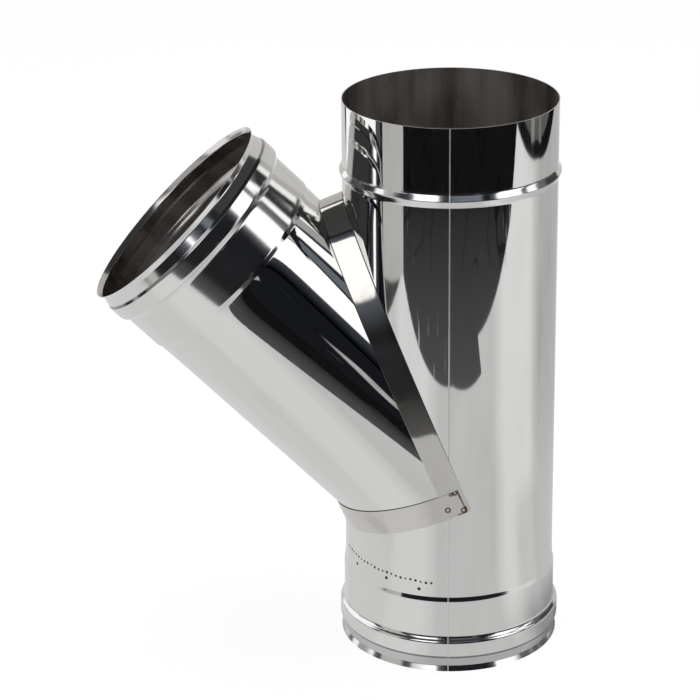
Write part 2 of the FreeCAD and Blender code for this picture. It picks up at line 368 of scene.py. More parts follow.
class Graph:
    """Node graph of one material or world."""

    def __init__(self, tree: bpy.types.NodeTree) -> None:
        """Empty the tree."""
        self.tree = tree
        tree.nodes.clear()

    def node(self, kind: str, settings: dict[str, object] | None = None, **inputs: object) -> bpy.types.Node:
        """Add a node.

        Args:
            kind: the node's type.
            settings: properties that are set before the sockets.
            inputs: values or links of its sockets, by name.

        Returns:
            The node.
        """
        made = self.tree.nodes.new(kind)
        for name, value in (settings or {}).items():
            setattr(made, name, value)
        for name, value in inputs.items():
            self.feed(made.inputs[name], value)
        return made

    def feed(self, socket: bpy.types.NodeSocket, value: object) -> None:
        """Link or set a socket.

        Args:
            socket: input socket.
            value: Value, output socket or plain number, colour or vector.
        """
        if isinstance(value, Value):
            value = value.socket
        if isinstance(value, bpy.types.NodeSocket):
            self.tree.links.new(value, socket)
        else:
            socket.default_value = value

    def row(self, kind: str, operation: str | None, *values: object) -> bpy.types.Node:
        """Add a node whose sockets are fed in their order.

        Args:
            kind: the node's type.
            operation: what it does, where the type has a choice.
            values: values or links of its first sockets.

        Returns:
            The node.
        """
        made = self.node(kind, {"operation": operation} if operation else None)
        for socket, value in zip(made.inputs, values):
            self.feed(socket, value)
        return made

    def math(self, operation: str, *values: object) -> Value:
        """Result of a Math node on one to three values."""
        return Value(self, self.row("ShaderNodeMath", operation, *values).outputs[0])

    def vector(self, operation: str, *values: object) -> bpy.types.NodeSocket:
        """Vector that a Vector Math node gives."""
        return self.row("ShaderNodeVectorMath", operation, *values).outputs["Vector"]

    def measure(self, operation: str, first: object, second: object) -> Value:
        """Number that a Vector Math node gives, such as a dot product or a distance."""
        return Value(self, self.row("ShaderNodeVectorMath", operation, first, second).outputs["Value"])

    def scaled(self, vector: object, factor: object) -> bpy.types.NodeSocket:
        """Vector times a number."""
        made = self.node("ShaderNodeVectorMath", {"operation": "SCALE"}, Vector=vector, Scale=factor)
        return made.outputs["Vector"]

    def apart(self, place: object, start: Vector, end: Vector) -> Value:
        """Distance from a straight line between two points, seen along Y."""
        along = end - start
        offset = self.vector("MULTIPLY", self.vector("SUBTRACT", place, tuple(start)), (1, 0, 1))
        share = self.measure("DOT_PRODUCT", offset, tuple(along / along.length_squared))
        share = share.at_least(0.0).at_most(1.0)
        return self.measure("DISTANCE", offset, self.scaled(tuple(along), share))

    def place(self) -> bpy.types.NodeSocket:
        """Object coordinates, which are the frame's own for a piece, as it sits at the origin."""
        return self.node("ShaderNodeTexCoord").outputs["Object"]

    def axes(self, *names: str) -> list[Value]:
        """Object coordinates along the named axes."""
        split = self.node("ShaderNodeSeparateXYZ", Vector=self.place())
        return [Value(self, split.outputs[name]) for name in names]

    def mix(self, factor: object, low: object, high: object) -> bpy.types.NodeSocket:
        """Colour between two colours."""
        made = self.node("ShaderNodeMix", {"data_type": "RGBA"}, Factor=factor)
        colours = [s for s in made.inputs if s.type == "RGBA"]
        self.feed(colours[0], low)
        self.feed(colours[1], high)
        return next(s for s in made.outputs if s.type == "RGBA")

    def blend(self, factor: object, low: object, high: object) -> bpy.types.NodeSocket:
        """Shader between two shaders."""
        return self.row("ShaderNodeMixShader", None, factor, low, high).outputs[0]

    def ray(self, *kinds: str) -> Value:
        """One for a ray of the named kinds, and otherwise zero."""
        path = self.node("ShaderNodeLightPath")
        first, *others = [Value(self, path.outputs[kind]) for kind in kinds]
        for other in others:
            first = first.at_least(other)
        return first

    def noise(self, vector: object, scale: float, detail: float = 2.0, roughness: float = 0.5) -> Value:
        """Noise between 0 and 1, about its middle most of the time.

        Args:
            vector: where it is read.
            scale: cells to the metre.
            detail: finer layers on top.
            roughness: weight of the finer layers.

        Returns:
            Its level.
        """
        inputs = {"Vector": vector, "Scale": scale, "Detail": detail, "Roughness": roughness}
        return Value(self, self.node("ShaderNodeTexNoise", **inputs).outputs[0])

    def bump(self, height: Value, depth: float, normal: object = None) -> bpy.types.NodeSocket:
        """Normal of a surface that rises by depth metres where height is 1."""
        made = self.node("ShaderNodeBump", Height=height, Strength=1.0, Distance=depth)
        if normal is not None:
            self.feed(made.inputs["Normal"], normal)
        return made.outputs["Normal"]


def new_material(name: str) -> tuple[bpy.types.Material, Graph]:
    """Material and its empty graph."""
    material = bpy.data.materials.new(name)
    material.use_nodes = True
    return material, Graph(material.node_tree)


def rgba(red: float, green: float, blue: float) -> Colour:
    """Opaque colour in linear light."""
    return (red, green, blue, 1.0)


def grey(level: float) -> Colour:
    """Opaque grey in linear light."""
    return rgba(level, level, level)


@dataclass(frozen=True)
class TubeAxis:
    """Axis that a finish follows: a point on it, its direction and a sideways direction."""

    origin: Vector
    along: Vector
    side: Vector = field(default_factory=lambda: Vector((0, -1, 0)))

    def offset(self, graph: Graph) -> bpy.types.NodeSocket:
        """Vector from the axis's origin to the shaded point."""
        return graph.vector("SUBTRACT", graph.place(), tuple(self.origin))

    def height(self, graph: Graph) -> Value:
        """Distance of the shaded point along the axis."""
        return graph.measure("DOT_PRODUCT", self.offset(graph), tuple(self.along))

    def grain(self, graph: Graph, stretch: float) -> bpy.types.NodeSocket:
        """Place of the shaded point with the axis's direction shortened, so that noise forms streaks.

        Args:
            graph: graph of the material.
            stretch: how many times longer than wide a streak is.

        Returns:
            The vector that noise reads.
        """
        drop = self.height(graph) * (1 / stretch - 1)
        return graph.vector("ADD", self.offset(graph), graph.scaled(tuple(self.along), drop))

    def azimuth(self, graph: Graph) -> Value:
        """Angle round the axis in radians, 0 towards the sideways direction."""
        offset = self.offset(graph)
        across = self.along.cross(self.side)
        return graph.math(
            "ARCTAN2",
            graph.measure("DOT_PRODUCT", offset, tuple(across)),
            graph.measure("DOT_PRODUCT", offset, tuple(self.side)),
        )


class Look(NamedTuple):
    """What varies over a surface."""

    tone: bpy.types.NodeSocket
    rough: Value
    normal: bpy.types.NodeSocket


@dataclass(frozen=True)
class Finish:
    """Base of the finishes: a named material with a Principled shader."""

    name: str
    metallic: ClassVar[float] = 1.0

    def build(self) -> bpy.types.Material:
        """Make the material."""
        material, graph = new_material(self.name)
        look = self.dress(graph)
        sockets = {"Base Color": look.tone, "Roughness": look.rough, "Normal": look.normal}
        shader = graph.node("ShaderNodeBsdfPrincipled", Metallic=self.metallic, **sockets)
        graph.node("ShaderNodeOutputMaterial", Surface=shader.outputs[0])
        return material

    def dress(self, graph: Graph) -> Look:
        """Colour, roughness and normal of the surface."""
        raise NotImplementedError


@dataclass(frozen=True)
class PolishedSheet(Finish):
    """Mirror-polished stainless sheet rolled to a tube, with its lengthwise weld.

    The rolled zones are given by their middles and reaches along the axis, and the crease of
    the lip by its distance from the rim.
    """

    axis: TubeAxis
    rolled: tuple[tuple[float, float], ...]
    rim: float
    seam: float
    radius: float
    crease: float = 0.0111
    crease_edge: tuple[float, float] = (0.0012, 0.0006)
    weld_edge: tuple[float, float] = (0.0005, 0.0003)
    colour: Colour = rgba(0.795, 0.79, 0.782)
    smudge: Colour = rgba(0.67, 0.655, 0.63)
    # Colour of the crease's dark line: partly dirt, partly painted shade.
    dirt_and_shade: Colour = rgba(0.13, 0.125, 0.12)
    bright: Colour = grey(0.86)
    gloss: float = 0.03
    wave_depth: float = 0.00022
    line_depth: float = 0.0000012
    weld_depth: float = 0.00008

    def dress(self, graph: Graph) -> Look:
        """Lengthwise polishing lines and scratches, smudges, a slight wave, the weld, a worn socket and the
        crease's dark line, partly dirt and partly painted shade.
        """
        fine = graph.noise(self.axis.grain(graph, 40), 900, 3.0, 0.6)
        scratch = graph.noise(self.axis.grain(graph, 28), 800, 1.0).fade(0.70, 0.74)
        wipe = graph.noise(self.axis.grain(graph, 5), 28, 4.0, 0.55).fade(0.52, 0.78)
        wave = graph.noise(self.axis.grain(graph, 6), 11, 1.0)
        worn = self.worn(graph)
        ring = graph.noise(self.axis.grain(graph, 1 / 60), 40, 3.0, 0.7)
        weld = self.weld(graph)
        tone = graph.mix(wipe * 0.8, self.colour, self.smudge)
        # Dirt and painted shade: the crease is darkened where it mirrors the shadowed floor by the foot.
        tone = graph.mix(self.crease_dirt_and_shade(graph) * 0.75, tone, self.dirt_and_shade)
        rough = self.gloss + fine.fade(0.55, 0.8) * 0.02 + wipe * 0.03 + weld * 0.42
        rough = rough + worn * (0.05 + ring * 0.08) + scratch * (1 - worn) * 0.12
        normal = graph.bump(fine, self.line_depth, graph.bump(wave, self.wave_depth))
        normal = graph.bump(weld, self.weld_depth, normal)
        return Look(graph.mix(weld * 0.6, tone, self.bright), rough, normal)

    def worn(self, graph: Graph) -> Value:
        """Mask of the rolled zones."""
        zones = [abs(self.axis.height(graph) - middle) / reach for middle, reach in self.rolled]
        nearest = zones[0]
        for zone in zones[1:]:
            nearest = nearest.at_most(zone)
        return nearest.fade(1.1, 0.9)

    def crease_dirt_and_shade(self, graph: Graph) -> Value:
        """Mask of the crease's dark line: partly dirt, partly painted shade."""
        return abs(abs(self.axis.height(graph) - self.rim) - self.crease).fade(*self.crease_edge)

    def weld(self, graph: Graph) -> Value:
        """Mask of the lengthwise weld, under a millimetre wide."""
        return (abs(self.axis.azimuth(graph) - self.seam) * self.radius).fade(*self.weld_edge)


@dataclass(frozen=True)
class DullInside(Finish):
    """Inside of a tube, as it left the mill: dull, brownish and streaked lengthwise.

    The lip is polished and the stretch up to the groove is darkened with painted shade, both
    by their distance from the rim.
    """

    axis: TubeAxis
    rim: float
    lip: float = 0.0048
    groove: float = 0.0205
    colour: Colour = rgba(0.76, 0.725, 0.705)
    shade: Colour = rgba(0.42, 0.395, 0.38)
    # Painted shade of the stretch from the lip to the groove.
    groove_shade_colour: Colour = rgba(0.20, 0.17, 0.15)
    lip_colour: Colour = rgba(0.60, 0.59, 0.58)

    def dress(self, graph: Graph) -> Look:
        """Lengthwise streaks and soft clouds in tone and gloss, a polished lip and painted shade up to the
        groove.
        """
        streak = graph.noise(self.axis.grain(graph, 22), 110, 3.0, 0.5)
        cloud = graph.noise(self.axis.grain(graph, 4), 30, 2.0).fade(0.38, 0.64)
        depth = abs(self.axis.height(graph) - self.rim)
        # Painted shade: darker from the lip up to the groove, where the inside mirrors dark parts.
        scale = depth.fade(self.groove + 0.003, self.groove)
        polish = depth.fade(self.lip + 0.0006, self.lip)
        tone = graph.mix(streak.fade(0.3, 0.7) * 0.3 + cloud * 0.7, self.shade, self.colour)
        tone = graph.mix(scale * 0.35, tone, self.groove_shade_colour)
        rough = (0.19 + streak * 0.12 + cloud * 0.08) * (1 - polish * 0.45)
        return Look(graph.mix(polish, tone, self.lip_colour), rough, graph.bump(streak, 0.000005))


@dataclass(frozen=True)
class CutEdge(Finish):
    """Sheared edge of the sheet, a little torn."""

    low: Colour = rgba(0.62, 0.61, 0.60)
    high: Colour = rgba(0.84, 0.83, 0.82)

    def dress(self, graph: Graph) -> Look:
        """Fine grain in tone and gloss."""
        grain = graph.noise(graph.place(), 2200, 3.0, 0.7)
        return Look(graph.mix(grain, self.low, self.high), 0.22 + grain * 0.2, graph.bump(grain, 0.00002))


@dataclass(frozen=True)
class CollarSheet(Finish):
    """Polished strip of a collar band, heat-tinted round its spot welds.

    A stain is a line given by the x and z of its ends, its reach and its strength. The warp is
    the rise that welding gave the strip along the valley.
    """

    valley: TubeAxis
    welds: tuple[Vector, ...] = ()
    stains: tuple[tuple[float, ...], ...] = ()
    warp: float = 0.0
    warp_reach: float = 0.13
    colour: Colour = rgba(0.68, 0.665, 0.64)
    smear: Colour = rgba(0.60, 0.565, 0.52)
    tint: Colour = rgba(0.14, 0.08, 0.05)

    def dress(self, graph: Graph) -> Look:
        """Wiped smudges, polishing lines and brown rings round the welds."""
        place = graph.place()
        near = graph.vector("MULTIPLY", graph.vector("ABSOLUTE", place), (0, 1, 0))
        plane = graph.vector("ADD", graph.vector("MULTIPLY", place, (1, 0, 1)), near)
        smudge = graph.noise(place, 60, 4.0, 0.6)
        fine = graph.noise(graph.vector("MULTIPLY", place, (1, 0.04, 0.04)), 1500, 3.0, 0.6)
        wiped = smudge.fade(0.5, 0.8)
        haze = graph.noise(place, 16000, 0.0).fade(0.66, 0.74)
        tone = graph.mix(wiped * 0.5, self.colour, self.smear)
        rough = 0.05 + fine.fade(0.5, 0.8) * 0.04 + wiped * 0.05 + haze * 0.5
        ragged = (smudge - 0.5) * 0.0016
        for weld in self.welds:
            apart = graph.measure("DISTANCE", plane, (weld.x, abs(weld.y), weld.z)) + ragged
            ring = apart.band(0.0005, 0.0011, 0.0015, 0.0026)
            tone = graph.mix(ring * 0.9, tone, self.tint)
            rough = rough + ring * 0.25
        for from_x, from_z, to_x, to_z, reach, strength in self.stains:
            start, end = Vector((from_x, 0, from_z)), Vector((to_x, 0, to_z))
            stain = (graph.apart(place, start, end) + ragged * 0.6).fade(reach, reach * 0.35) * strength
            tone = graph.mix(stain, tone, self.tint)
            rough = rough + stain * 0.2
        rise = self.valley.height(graph).fade(0.0, self.warp_reach)
        wave = graph.noise(place, 16, 1.0)
        return Look(tone, rough, graph.bump(wave, 0.0001, graph.bump(rise, self.warp)))


@dataclass(frozen=True)
class BurntMark(Finish):
    """Small burnt mark that a tack weld leaves on polished sheet."""

    metallic: ClassVar[float] = 0.6
    oxide: Colour = rgba(0.045, 0.035, 0.03)
    grit: Colour = rgba(0.30, 0.22, 0.15)

    def dress(self, graph: Graph) -> Look:
        """Dark brown oxide with a few brighter grains."""
        grain = graph.noise(graph.place(), 3000, 3.0, 0.7)
        tone = graph.mix(grain.fade(0.5, 0.8), self.oxide, self.grit)
        return Look(tone, 0.45 + grain * 0.2, graph.bump(grain, 0.00003))


@dataclass
class SheetPiece:
    """Base of the pieces that are formed from sheet."""

    sizes: FlueSizes
    edge_break: float = 0.00012

    def thicken(self, piece: bpy.types.Object, outwards: bool) -> None:
        """Give a modelled skin its sheet thickness, its broken edges and a slot for each skin.

        Args:
            piece: skin with its normals outwards.
            outwards: whether the skin is the wall's inner face, so that the sheet lies outside it.
        """
        for _ in Skin:
            piece.data.materials.append(None)
        apply_modifier(
            piece,
            "SOLIDIFY",
            thickness=self.sizes.sheet,
            offset=1.0 if outwards else -1.0,
            use_even_offset=True,
            material_offset=Skin.INSIDE.value,
            material_offset_rim=Skin.EDGE.value,
        )
        with editing(piece) as mesh:
            for vertex in mesh.verts:
                vertex.select = vertex.co.z < -TINY and not outwards
            bpy.ops.transform.resize(value=(1, 1, 0), center_override=(0, 0, 0))
        apply_modifier(
            piece,
            "BEVEL",
            width=self.edge_break,
            segments=2,
            limit_method="ANGLE",
            angle_limit=math.radians(60),
        )
        activate(piece)
        bpy.ops.object.shade_smooth_by_angle(angle=math.radians(40))
        apply_modifier(piece, "WEIGHTED_NORMAL", keep_sharp=True)

    def dress(self, piece: bpy.types.Object, skins: dict[Skin, bpy.types.Material]) -> None:
        """Fill the piece's material slots."""
        for skin, material in skins.items():
            piece.data.materials[skin.value] = material


@dataclass
class Pipe(SheetPiece):
    """Tube with a socket at its foot, turned from its section and cut open along the valley."""

    steps: int = 256
    ring_gap: float = 0.008
    support: float = 0.0005
    seam: float = 0.0
    rolled_reach: float = 0.055

    def form(self, name: str, corners: Sequence[Corner], side: int, crossing: float) -> bpy.types.Object:
        """Turn a pipe from its section, cut it open along the valley and thicken it.

        Args:
            name: name of the piece.
            corners: corners of the section from the rim upwards.
            side: 1 for the main pipe and -1 for the branch.
            crossing: height of the crossing of the axes in the pipe's own frame.

        Returns:
            The pipe, upright on its socket's rim.
        """
        piece = self.turn(name, corners)
        self.cut(piece, self.valley(side, crossing))
        self.thicken(piece, outwards=False)
        return piece

    def finish(
        self, piece: bpy.types.Object, tag: str, axis: TubeAxis, rim: float, *rolled: tuple[float, float]
    ) -> None:
        """Dress a pipe and hand it over.

        Args:
            piece: pipe in its place.
            tag: what its finishes and its solid are named after.
            axis: its axis.
            rim: place of the socket's rim along the axis.
            rolled: other rolled zones than the socket.
        """
        zones = ((rim, self.rolled_reach), *rolled)
        face = PolishedSheet(f"polished_{tag}", axis, zones, rim, self.seam, self.sizes.tube_radius)
        self.dress(piece, {
            Skin.OUTSIDE: face.build(),
            Skin.INSIDE: DullInside(f"dull_inside_{tag}", axis, rim).build(),
            Skin.EDGE: CutEdge(f"cut_edge_{tag}").build(),
        })
        hand_over(piece, Slot.TUBE, f"{tag}_pipe")

    def rounded(self, corners: Sequence[Corner]) -> list[tuple[float, float]]:
        """Section with its bends rounded and with rings between them.

        Args:
            corners: corners from the rim upwards.

        Returns:
            Points as distance from the axis and height.
        """
        flat = [Vector((c.radius, c.height)) for c in corners]
        points = [flat[0]]
        for i, corner in enumerate(corners[1:-1], start=1):
            before = (flat[i] - flat[i - 1]).normalized()
            after = (flat[i + 1] - flat[i]).normalized()
            turn = before.angle(after)
            reach = corner.bend * math.tan(turn / 2)
            inwards = (after - before).normalized()
            centre = flat[i] + inwards * corner.bend / math.cos(turn / 2)
            start = flat[i] - before * reach
            spokes = max(2, math.ceil(turn / math.radians(6)))
            sign = 1 if before.x * after.y - before.y * after.x > 0 else -1
            for step in range(spokes + 1):
                spoke = Matrix.Rotation(sign * turn * step / spokes, 2) @ (start - centre)
                points.append(centre + spoke)
        points.append(flat[-1])
        return self.with_rings(points)

    def with_rings(self, points: Sequence[Vector]) -> list[tuple[float, float]]:
        """Split the long runs of a section, close to their ends and evenly between.

        Args:
            points: section without doubled points.

        Returns:
            Points as distance from the axis and height.
        """
        split = [points[0]]
        for a, b in zip(points, points[1:]):
            length = (b - a).length
            if length > 4 * self.support:
                inner = length - 2 * self.support
                count = math.ceil(inner / self.ring_gap)
                for step in range(count + 1):
                    split.append(a.lerp(b, (self.support + inner * step / count) / length))
            split.append(b)
        return [(p.x, p.y) for p in split]

    def turn(self, name: str, corners: Sequence[Corner]) -> bpy.types.Object:
        """Draw the section vertex by vertex and spin it about the axis.

        Args:
            name: name of the piece.
            corners: corners of the section from the rim upwards.

        Returns:
            Skin of the outside, with its normals outwards.
        """
        points = self.rounded(corners)
        deselect_all()
        start = (points[0][0], 0, points[0][1])
        bpy.ops.mesh.primitive_plane_add(size=self.sizes.sheet, location=start)
        piece = bpy.context.active_object
        piece.name = piece.data.name = name
        bpy.ops.object.transform_apply(location=True)
        with editing(piece):
            bpy.ops.mesh.select_all(action="SELECT")
            bpy.ops.mesh.merge(type="CENTER")
            for (r0, z0), (r1, z1) in zip(points, points[1:]):
                shift = {"value": (r1 - r0, 0, z1 - z0)}
                bpy.ops.mesh.extrude_vertices_move(TRANSFORM_OT_translate=shift)
            bpy.ops.mesh.select_all(action="SELECT")
            bpy.ops.mesh.spin(steps=self.steps, angle=math.tau, center=(0, 0, 0), axis=(0, 0, 1))
            bpy.ops.mesh.select_all(action="SELECT")
            bpy.ops.mesh.remove_doubles(threshold=TINY)
            bpy.ops.mesh.normals_make_consistent(inside=False)
        face = piece.data.polygons[0]
        if face.normal.dot(Vector((face.center.x, face.center.y, 0))) < 0:
            piece.data.flip_normals()
        return piece

    def valley(self, side: int, crossing: float) -> list[tuple[float, float]]:
        """Outline of what the valley takes off the tube.

        Args:
            side: 1 for the main pipe and -1 for the branch.
            crossing: height of the crossing of the axes in the tube's own frame.

        Returns:
            Corners as x and z.
        """
        sizes = self.sizes
        far = sizes.upper_length + sizes.branch_length
        upper, lower = sizes.upper_band / 2, sizes.lower_band / 2
        cos, sin = math.cos(sizes.half_angle), math.sin(sizes.half_angle)

        def place(across: float, along: float) -> tuple[float, float]:
            """Corner from its distances across and along the upper valley."""
            return (side * across * cos - along * sin, crossing + across * sin + side * along * cos)

        lap = sizes.band_lap
        edge = [
            place(-far, -side * (lower - lap)),
            place(-sizes.lower_centre, -side * (lower - lap)),
            place(-sizes.lower_centre, -side * lower),
            place(side * upper, -side * lower),
            place(side * upper, sizes.upper_centre),
            place(side * (upper - lap), sizes.upper_centre),
            place(side * (upper - lap), far),
        ]
        if side > 0:
            return edge + [place(-far, far)]
        return edge + [place(far, far), place(far, -far), place(-far, -far)]

    def cut(self, piece: bpy.types.Object, outline: Sequence[tuple[float, float]]) -> None:
        """Cut a skin along an outline in the XZ plane and take off what lies inside it.

        Args:
            piece: skin at the origin.
            outline: corners of a closed outline.
        """
        reach = 3 * self.sizes.tube_radius
        with editing(piece):
            for (xa, za), (xb, zb) in zip(outline, [*outline[1:], outline[0]]):
                a, b = Vector((xa, 0, za)), Vector((xb, 0, zb))
                run = (b - a).normalized()
                if abs(xa) > reach and abs(xb) > reach:
                    continue
                low, high = -self.ring_gap, (b - a).length + self.ring_gap

                def near(face: bmesh.types.BMFace) -> bool:
                    """Whether a face lies beside this edge of the outline."""
                    return low < (face.calc_center_median() - a).dot(run) < high

                select_faces(piece, near)
                normal = (-run.z, 0, run.x)
                bpy.ops.mesh.bisect(plane_co=tuple(a), plane_no=normal, threshold=TINY)
            select_faces(piece, lambda face: inside(outline, face.calc_center_median()))
            bpy.ops.mesh.delete(type="FACE")
            bpy.ops.mesh.select_mode(type="VERT")
            bpy.ops.mesh.select_all(action="SELECT")
            bpy.ops.mesh.remove_doubles(threshold=TINY)


def inside(outline: Sequence[tuple[float, float]], point: Vector) -> bool:
    """Whether a point lies inside an outline, seen along Y.

    Args:
        outline: corners as x and z.
        point: point of space.

    Returns:
        True inside.
    """
    found = False
    for (xa, za), (xb, zb) in zip(outline, [*outline[1:], outline[0]]):
        if (za > point.z) != (zb > point.z):
            if point.x < xa + (xb - xa) * (point.z - za) / (zb - za):
                found = not found
    return found


@dataclass
class MainPipe(Pipe):
    """Straight pipe with a socket at its foot and a spigot at its top."""

    seam: float = math.radians(-3.3)
    bead_zone: tuple[float, float] = (0.3515, 0.005)

    def build(self) -> None:
        """Model the pipe, dress it and hand it over."""
        sizes = self.sizes
        piece = self.form("main_pipe_shell", sizes.socket() + sizes.spigot(), 1, sizes.lower_length)
        axis = TubeAxis(Vector((0, 0, 0)), Vector((0, 0, 1)))
        self.finish(piece, "main", axis, 0.0, self.bead_zone)


@dataclass
class BranchPipe(Pipe):
    """Slanted pipe with a socket at its mouth, modelled upright with the mouth as its foot."""

    seam: float = math.radians(180)

    def build(self) -> None:
        """Model the pipe, lean it over, dress it and hand it over."""
        sizes = self.sizes
        length = sizes.branch_length
        end = Corner(sizes.tube_radius, length)
        piece = self.form("branch_pipe_shell", [*sizes.socket(), end], -1, length)
        mouth = sizes.crossing + sizes.branch_axis * length
        set_in_place(piece, math.pi - sizes.branch_angle, mouth)
        self.finish(piece, "branch", TubeAxis(sizes.crossing, sizes.branch_axis), length)


@dataclass
class CollarBand(SheetPiece):
    """Strip that bridges one of the two valleys, ruled across it."""

    steps: int = 512
    rows: int = 6
    # The bands' edges are dark with painted shadow of the gap between band and tube.
    edge_shade_low: Colour = rgba(0.05, 0.04, 0.035)
    edge_shade_high: Colour = rgba(0.16, 0.14, 0.125)

    @property
    def valley(self) -> TubeAxis:
        """Line of the upper valley, from the crossing of the axes."""
        return TubeAxis(self.sizes.crossing, self.sizes.valley_axis)

    def strip(self, name: str, axes: Vector, centre: Vector, ruling: Vector, end: Vector) -> bpy.types.Object:
        """Model a strip from an elliptical ring, in the valley's own frame.

        Args:
            name: name of the piece.
            axes: half axes of the ring, with 0 along the ruling.
            centre: centre of the ring.
            ruling: vector of half the band's width.
            end: point where the band ends, which is also the direction of what is taken off.

        Returns:
            The strip with its sheet thickness, still in the valley's frame.
        """
        deselect_all()
        turn = (0, math.pi / 2, 0) if ruling.x else (0, 0, 0)
        bpy.ops.mesh.primitive_circle_add(vertices=self.steps, radius=1, rotation=turn)
        piece = bpy.context.active_object
        piece.name = piece.data.name = name
        bpy.ops.object.transform_apply(rotation=True)
        scale = tuple(a or 1 for a in axes)
        with editing(piece):
            bpy.ops.mesh.select_all(action="SELECT")
            bpy.ops.transform.resize(value=scale, center_override=(0, 0, 0))
            bpy.ops.transform.translate(value=tuple(centre - ruling))
            for _ in range(self.rows):
                shift = {"value": tuple(ruling * 2 / self.rows)}
                bpy.ops.mesh.extrude_edges_move(TRANSFORM_OT_translate=shift)
            bpy.ops.mesh.select_all(action="SELECT")
            bpy.ops.mesh.bisect(
                plane_co=tuple(end),
                plane_no=tuple(end.normalized()),
                clear_outer=end.x > 0,
                clear_inner=end.z > 0,
                threshold=TINY,
            )
            bpy.ops.mesh.select_all(action="SELECT")
            bpy.ops.mesh.normals_make_consistent(inside=False)
        face = piece.data.polygons[0]
        if face.normal.dot(face.center - centre) < 0:
            piece.data.flip_normals()
        self.thicken(piece, outwards=True)
        set_in_place(piece, -self.sizes.half_angle, self.sizes.crossing)
        return piece

    def finish(self, piece: bpy.types.Object, sheet: CollarSheet, node: str) -> None:
        """Dress a band and hand it over.

        Args:
            piece: strip in its place.
            sheet: finish of its faces.
            node: solid that it stands for.
        """
        face = sheet.build()
        # Edge finish darkened with painted shadow of the gap under the band's edges.
        edge = CutEdge(f"cut_edge_{node}", self.edge_shade_low, self.edge_shade_high).build()
        self.dress(piece, {Skin.OUTSIDE: face, Skin.INSIDE: face, Skin.EDGE: edge})
        hand_over(piece, Slot.COLLAR, node)


@dataclass
class UpperBand(CollarBand):
    """Band over the crotch and down both sides, warped a little by its welding."""

    warp: float = 0.0023

    def build(self) -> None:
        """Model the band, dress it and hand it over."""
        sizes = self.sizes
        piece = self.strip(
            "upper_band_strip",
            Vector((0, sizes.tube_radius, sizes.tube_radius / math.sin(sizes.half_angle))),
            Vector((0, 0, sizes.upper_centre)),
            Vector((sizes.upper_band / 2, 0, 0)),
            Vector((0, 0, sizes.lower_band / 2)),
        )
        sheet = CollarSheet("collar_upper", self.valley, warp=self.warp)
        self.finish(piece, sheet, "upper_collar_band")


@dataclass
class LowerBand(CollarBand):
    """Band round the fold under the branch, spot-welded at its square ends."""

    welds: tuple[Vector, ...] = (
        Vector((-0.0002, -0.0755, 0.1381)),
        Vector((-0.0049, -0.0753, 0.1251)),
        Vector((0.0063, -0.0752, 0.1249)),
    )
    stains: tuple[tuple[float, ...], ...] = (
        (-0.0032, 0.1401, 0.0012, 0.1405, 0.0009, 0.85),
        (-0.0029, 0.1369, -0.0022, 0.1373, 0.0024, 0.8),
        (0.0012, 0.1404, 0.0036, 0.1345, 0.0010, 0.85),
        (0.0036, 0.1345, 0.0072, 0.1265, 0.0007, 0.8),
        (0.0075, 0.1268, 0.0080, 0.1238, 0.0013, 0.8),
        (0.0074, 0.1232, 0.0028, 0.12155, 0.0007, 0.8),
        (-0.0586, 0.1094, -0.0500, 0.1035, 0.0060, 0.12),
    )

    def build(self) -> None:
        """Model the band, dress it and hand it over."""
        sizes = self.sizes
        piece = self.strip(
            "lower_band_strip",
            Vector((sizes.tube_radius / math.cos(sizes.half_angle), sizes.tube_radius, 0)),
            Vector((-sizes.lower_centre, 0, 0)),
            Vector((0, 0, sizes.lower_band / 2)),
            Vector((sizes.upper_band / 2, 0, 0)),
        )
        sheet = CollarSheet("collar_lower", self.valley, self.welds, self.stains)
        self.finish(piece, sheet, "lower_collar_band")


